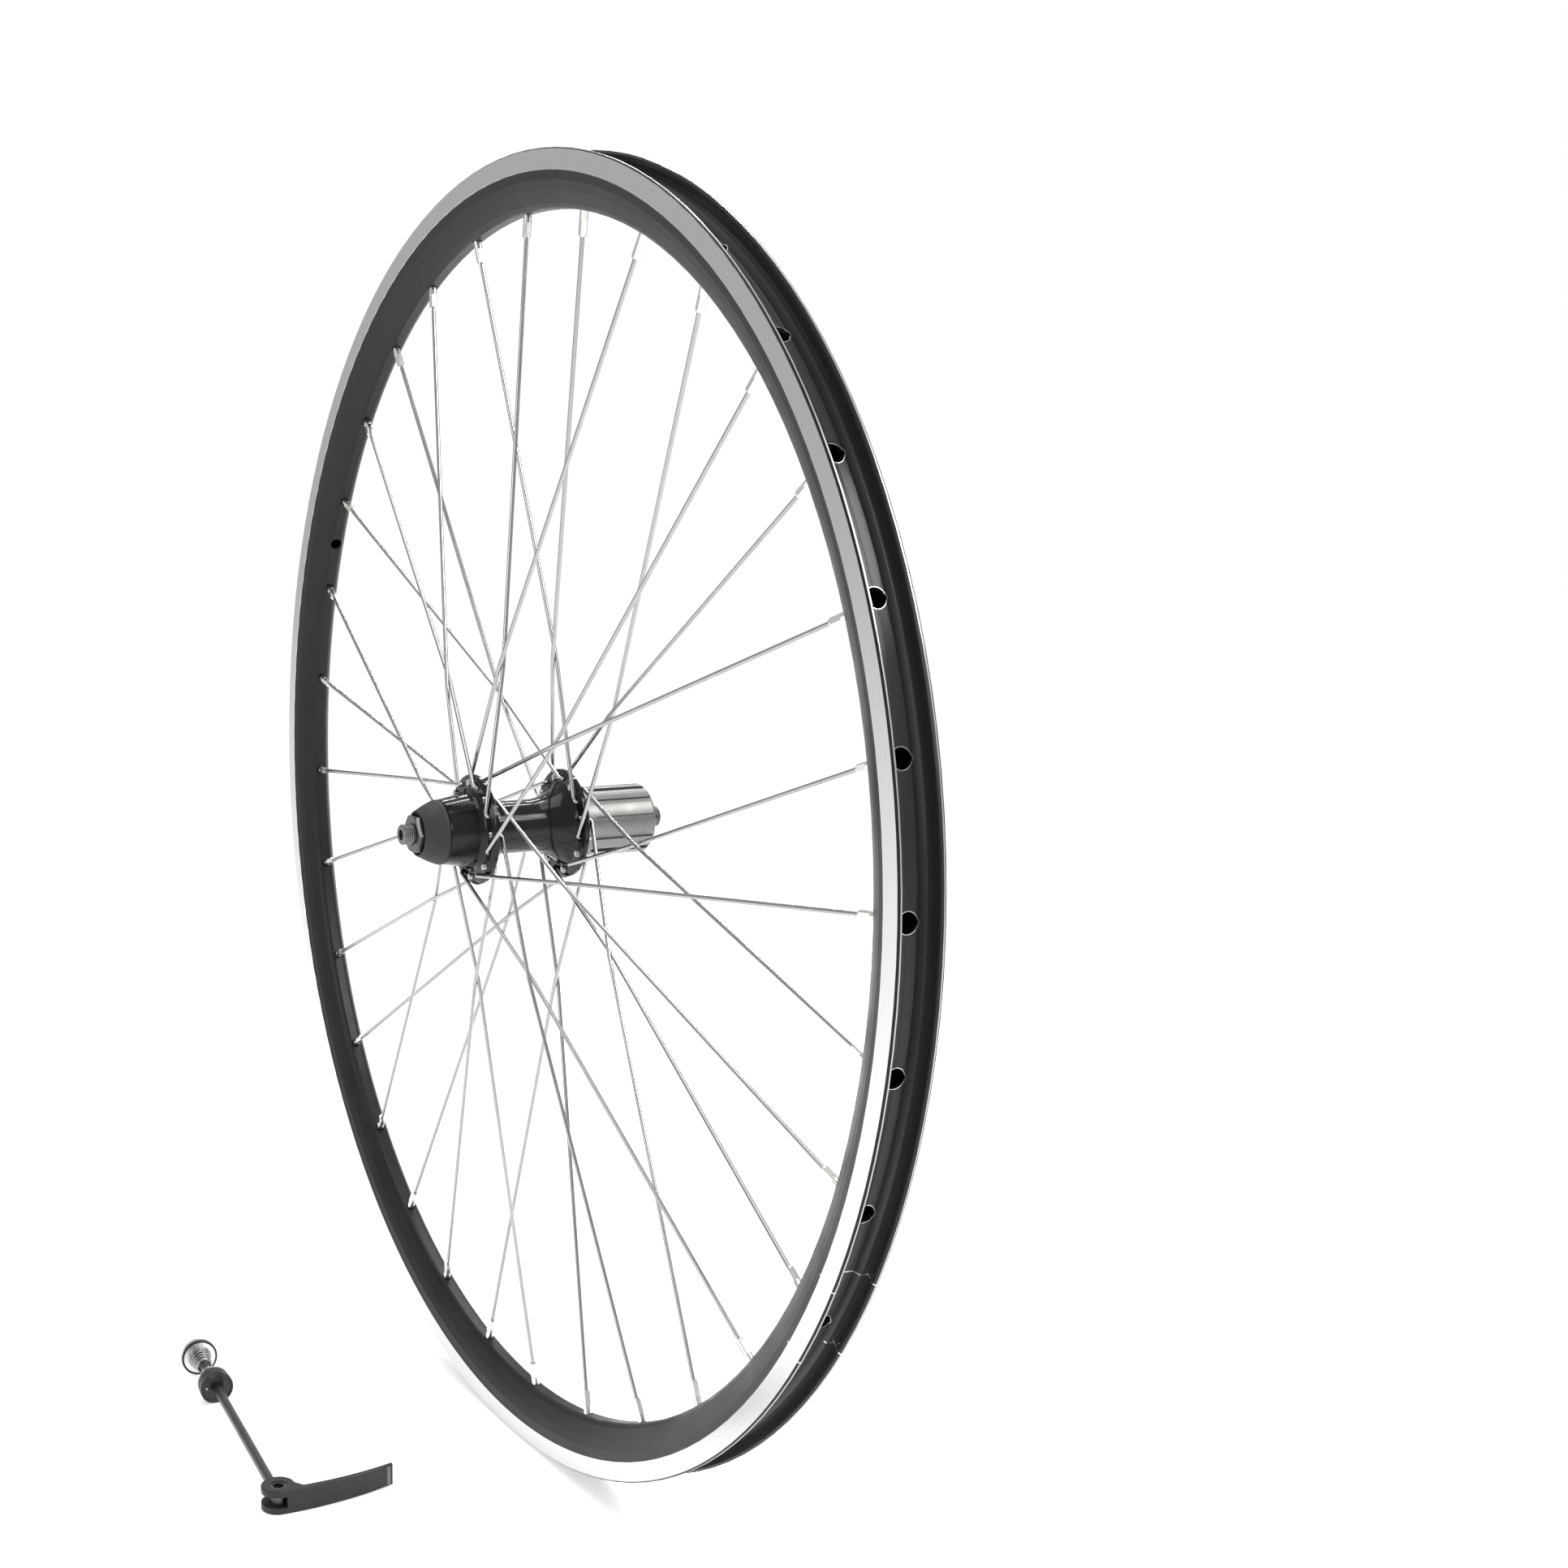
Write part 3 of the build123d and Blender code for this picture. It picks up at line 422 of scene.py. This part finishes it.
def paint_all():
    """Make the materials, dress the CAD nodes, and return the ones that mesh pieces need too."""
    stainless = simple_metal("spoke_stainless", (0.42, 0.42, 0.415), 0.2, 0.16, 0.28, 3000.0)
    nickel = simple_metal("nipple_nickel", (0.8, 0.79, 0.77), 0.2, 0.14, 0.28)
    dark_steel = simple_metal("dark_steel", (0.12, 0.12, 0.125), 0.35, 0.28, 0.42)
    polished = simple_metal("polished_steel", (0.62, 0.62, 0.63), 0.15, 0.1, 0.22)
    spline = simple_metal("freehub_steel", (0.21, 0.207, 0.2), 0.4, 0.34, 0.5)
    alloy = simple_metal("plain_alloy", (0.7, 0.7, 0.71), 0.35, 0.3, 0.45)
    cap_black = simple_metal("cap_black", (0.022, 0.022, 0.023), 0.4, 0.3, 0.44, 3500.0, 0.0,
                             Specular_IOR_Level=0.4)
    rod = simple_metal("rod_steel", (0.12, 0.12, 0.12), 0.35, 0.28, 0.42)
    axle = simple_metal("axle_steel", (0.2, 0.2, 0.2), 0.45, 0.4, 0.55, 1500.0)
    spring = simple_metal("spring_steel", (0.42, 0.42, 0.42), 0.25, 0.2, 0.35)
    bright = simple_metal("bright_zinc", (0.9, 0.9, 0.9), 0.2, 0.16, 0.3)
    nylon = simple_metal("nylon", (0.7, 0.7, 0.66), 0.5, 0.45, 0.6, 900.0, 0.0)
    strip = simple_metal("strip_light", (0.16, 0.16, 0.16), 0.4, 0.35, 0.5)
    lever, nut = lever_surface(), nut_surface()
    black, boot, rim = gloss_black(), rubber(), rim_surface()
    finishes = {
        rim: ["rim"],
        stainless: ["spokes_left_outboard", "spokes_left_inboard", "spokes_right_inboard",
                    "spokes_right_outboard"],
        nickel: ["nipples_left", "nipples_right"],
        black: ["hub_shell"],
        boot: ["rubber_boot", "freehub_dust_seal"],
        axle: ["axle"],
        dark_steel: ["left_spacer", "keyed_washer", "left_locknut", "left_dust_cap",
                     "freehub_fixing_bolt", "cam_barrel"],
        polished: ["left_cone", "right_cone", "left_bearing_cup", "right_bearing_cup",
                   "left_bearing_balls", "right_bearing_balls", "freehub_balls", "freehub_core",
                   "pawl_1", "pawl_2"],
        spline: ["freehub_body"],
        alloy: ["rim_joint_sleeve"],
        lever: ["skewer_lever"],
        cap_black: ["thrust_cap", "right_locknut"],
        nut: ["skewer_nut"],
        rod: ["skewer_rod"],
        spring: ["cap_spring", "nut_spring", "pawl_spring"],
        bright: ["nut_face_ring"],
        nylon: ["nut_lock_insert"],
        strip: ["lever_tip_strip"],
    }
    for surface, nodes in finishes.items():
        for node in nodes:
            dress(node, surface)
    return axle, rod, spring, bright


# ================================================================ mesh pieces
def new_piece(name, vertices, faces, surface, body):
    """Smooth mesh object in the frame, with its material, riding on a body."""
    mesh = bpy.data.meshes.new(name)
    mesh.from_pydata([tuple(v) for v in vertices], [], faces)
    mesh.validate()
    mesh.shade_smooth()
    mesh.materials.append(surface.material)
    piece = bpy.data.objects.new(name, mesh)
    bpy.context.collection.objects.link(piece)
    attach(piece, body)
    return piece


def grid_faces(rows, columns):
    """Quads of a closed band: rows rings of columns points, and a cap at each end."""
    faces = []
    for row in range(rows - 1):
        for column in range(columns):
            after = (column + 1) % columns
            faces.append((row * columns + column, row * columns + after,
                          (row + 1) * columns + after, (row + 1) * columns + column))
    faces.append(tuple(reversed(range(columns))))
    faces.append(tuple(range((rows - 1) * columns, rows * columns)))
    return faces


def tube(name, points, radius, sides, surface, body):
    """Round wire along points, its frame carried on from point to point."""
    vertices = []
    across = None
    for index, point in enumerate(points):
        ahead = points[min(index + 1, len(points) - 1)] - points[max(index - 1, 0)]
        ahead.normalize()
        if across is None:
            across = ahead.orthogonal()
        across = (across - ahead * across.dot(ahead)).normalized()
        up = ahead.cross(across)
        for side in range(sides):
            turn = tau * side / sides
            vertices.append(point + (across * cos(turn) + up * sin(turn)) * radius)
    return new_piece(name, vertices, grid_faces(len(points), sides), surface, body)


def on_rod(along, radius, turn):
    """Point round the skewer's rod, along it from the cam pivot towards the nut."""
    return PIVOT - AWAY * along + (SIDE * cos(turn) + LIFT * sin(turn)) * radius


def cone_spring(name, node, body, surface, large, small):
    """Conical wire spring; large and small are (distance along the rod, radius) of its ends."""
    turns, wire, flat = SPRING_TURNS, SPRING_WIRE_R, 0.75
    steps = int(turns * 40)
    sign = 1 if small[0] > large[0] else -1
    points = []
    for step in range(steps + 1):
        turned = turns * step / steps
        # the wire lies flat for the first and last part of a turn, and rises evenly between
        part = min(max((turned - flat) / (turns - 2 * flat), 0.0), 1.0)
        along = large[0] + (small[0] - large[0]) * part
        radius = large[1] + (small[1] - large[1]) * turned / turns - wire
        clear = sign * wire * (1 - 2 * part)
        points.append(on_rod(along + clear, radius, tau * turned))
    spring = tube(name, points, wire, 12, surface, body)
    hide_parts(node)


def threaded_bar(name, node, body, place, stretches, pitch, bore, surface):
    """Round bar in stretches of (start, end, start radius, end radius, thread depth).

    place(along, radius, turn) gives its points; a stretch with a depth is threaded. A bar
    with a bore is a closed ring of rows, and one without has a cap at each end.
    """
    columns = 48
    rows = []
    for start, end, start_r, end_r, depth in stretches:
        parts = max(int((end - start) / pitch * 8), 1) if depth else 1
        for index in range(parts + 1):
            along = start + (end - start) * index / parts
            radius = start_r + (end_r - start_r) * index / parts
            row = []
            for column in range(columns):
                phase = (along / pitch - column / columns) % 1.0
                inset = depth * (1 - abs(2 * phase - 1))
                row.append(place(along, radius - inset, tau * column / columns))
            rows.append(row)
    if bore:
        for along in (stretches[-1][1], stretches[0][0]):
            rows.append([place(along, bore, tau * column / columns) for column in range(columns)])
        rows.append(rows[0])
    vertices = [point for row in rows for point in row]
    faces = grid_faces(len(rows), columns)
    if bore:
        faces = faces[:-2]
    bar = new_piece(name, vertices, faces, surface, body)
    bar.data.set_sharp_from_angle(angle=radians(40))
    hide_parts(node)
    return bar


def make_axle(surface):
    """Hollow axle with M10 x 1 thread on the ends that stand out of the locknuts."""
    def place(along, radius, turn):
        return Vector((radius * sin(turn), along, radius * cos(turn)))

    end, start, crest, root = AXLE_HALF, LOCKNUT_FACE, AXLE_CREST_R, AXLE_ROOT_R
    edge, depth = 0.5 * MM, 0.35 * MM
    stretches = [(-end, edge - end, crest - edge, crest, 0), (edge - end, -start, crest, crest, depth),
                 (-start, start, root, root, 0), (start, end - edge, crest, crest, depth),
                 (end - edge, end, crest, crest - edge, 0)]
    bar = threaded_bar("axle_threaded", "axle", "axle_set", place, stretches, AXLE_PITCH, AXLE_BORE_R,
                       surface)


def make_rod(surface):
    """Skewer rod: plain shank, M5 x 0.8 thread on its last 26 mm."""
    thread, edge, depth = ROD_TIP - ROD_THREAD, 0.7 * MM, 0.4 * MM
    stretches = [(ROD_START, thread, ROD_R, ROD_R, 0), (thread, ROD_TIP - edge, ROD_R, ROD_R, depth),
                 (ROD_TIP - edge, ROD_TIP, ROD_R - 0.1 * MM, ROD_R - edge, 0)]
    bar = threaded_bar("rod_threaded", "skewer_rod", "skewer", on_rod, stretches, ROD_PITCH, None, surface)


def make_cap_pin(surface):
    """Small bright locating pin in the face of the cap."""
    side, radius, height, sunk, columns = -5.4 * MM, 0.5 * MM, 0.3 * MM, 0.05 * MM, 16
    vertices = []
    for along, r in ((0.0, radius), (height * 0.6, radius), (height, radius * 0.6)):
        spot = PIVOT - AWAY * (CAP_FACE - along + sunk)
        for column in range(columns):
            turn = tau * column / columns
            vertices.append(spot + SIDE * (side + r * cos(turn)) + LIFT * (r * sin(turn)))
    pin = new_piece("cap_pin", vertices, grid_faces(3, columns), surface, "cap")


make_camera()
make_floor()
make_light()
axle_paint, rod_paint, spring_paint, bright_paint = paint_all()
make_axle(axle_paint)
make_rod(rod_paint)
cone_spring("cap_spring_wire", "cap_spring", "cap", spring_paint,
            large=(136.9 * MM, 6.8 * MM), small=(149.5 * MM, 4.0 * MM))
cone_spring("nut_spring_wire", "nut_spring", "nut_carrier", spring_paint,
            large=(171.0 * MM, 6.5 * MM), small=(158.6 * MM, 4.0 * MM))
make_cap_pin(bright_paint)
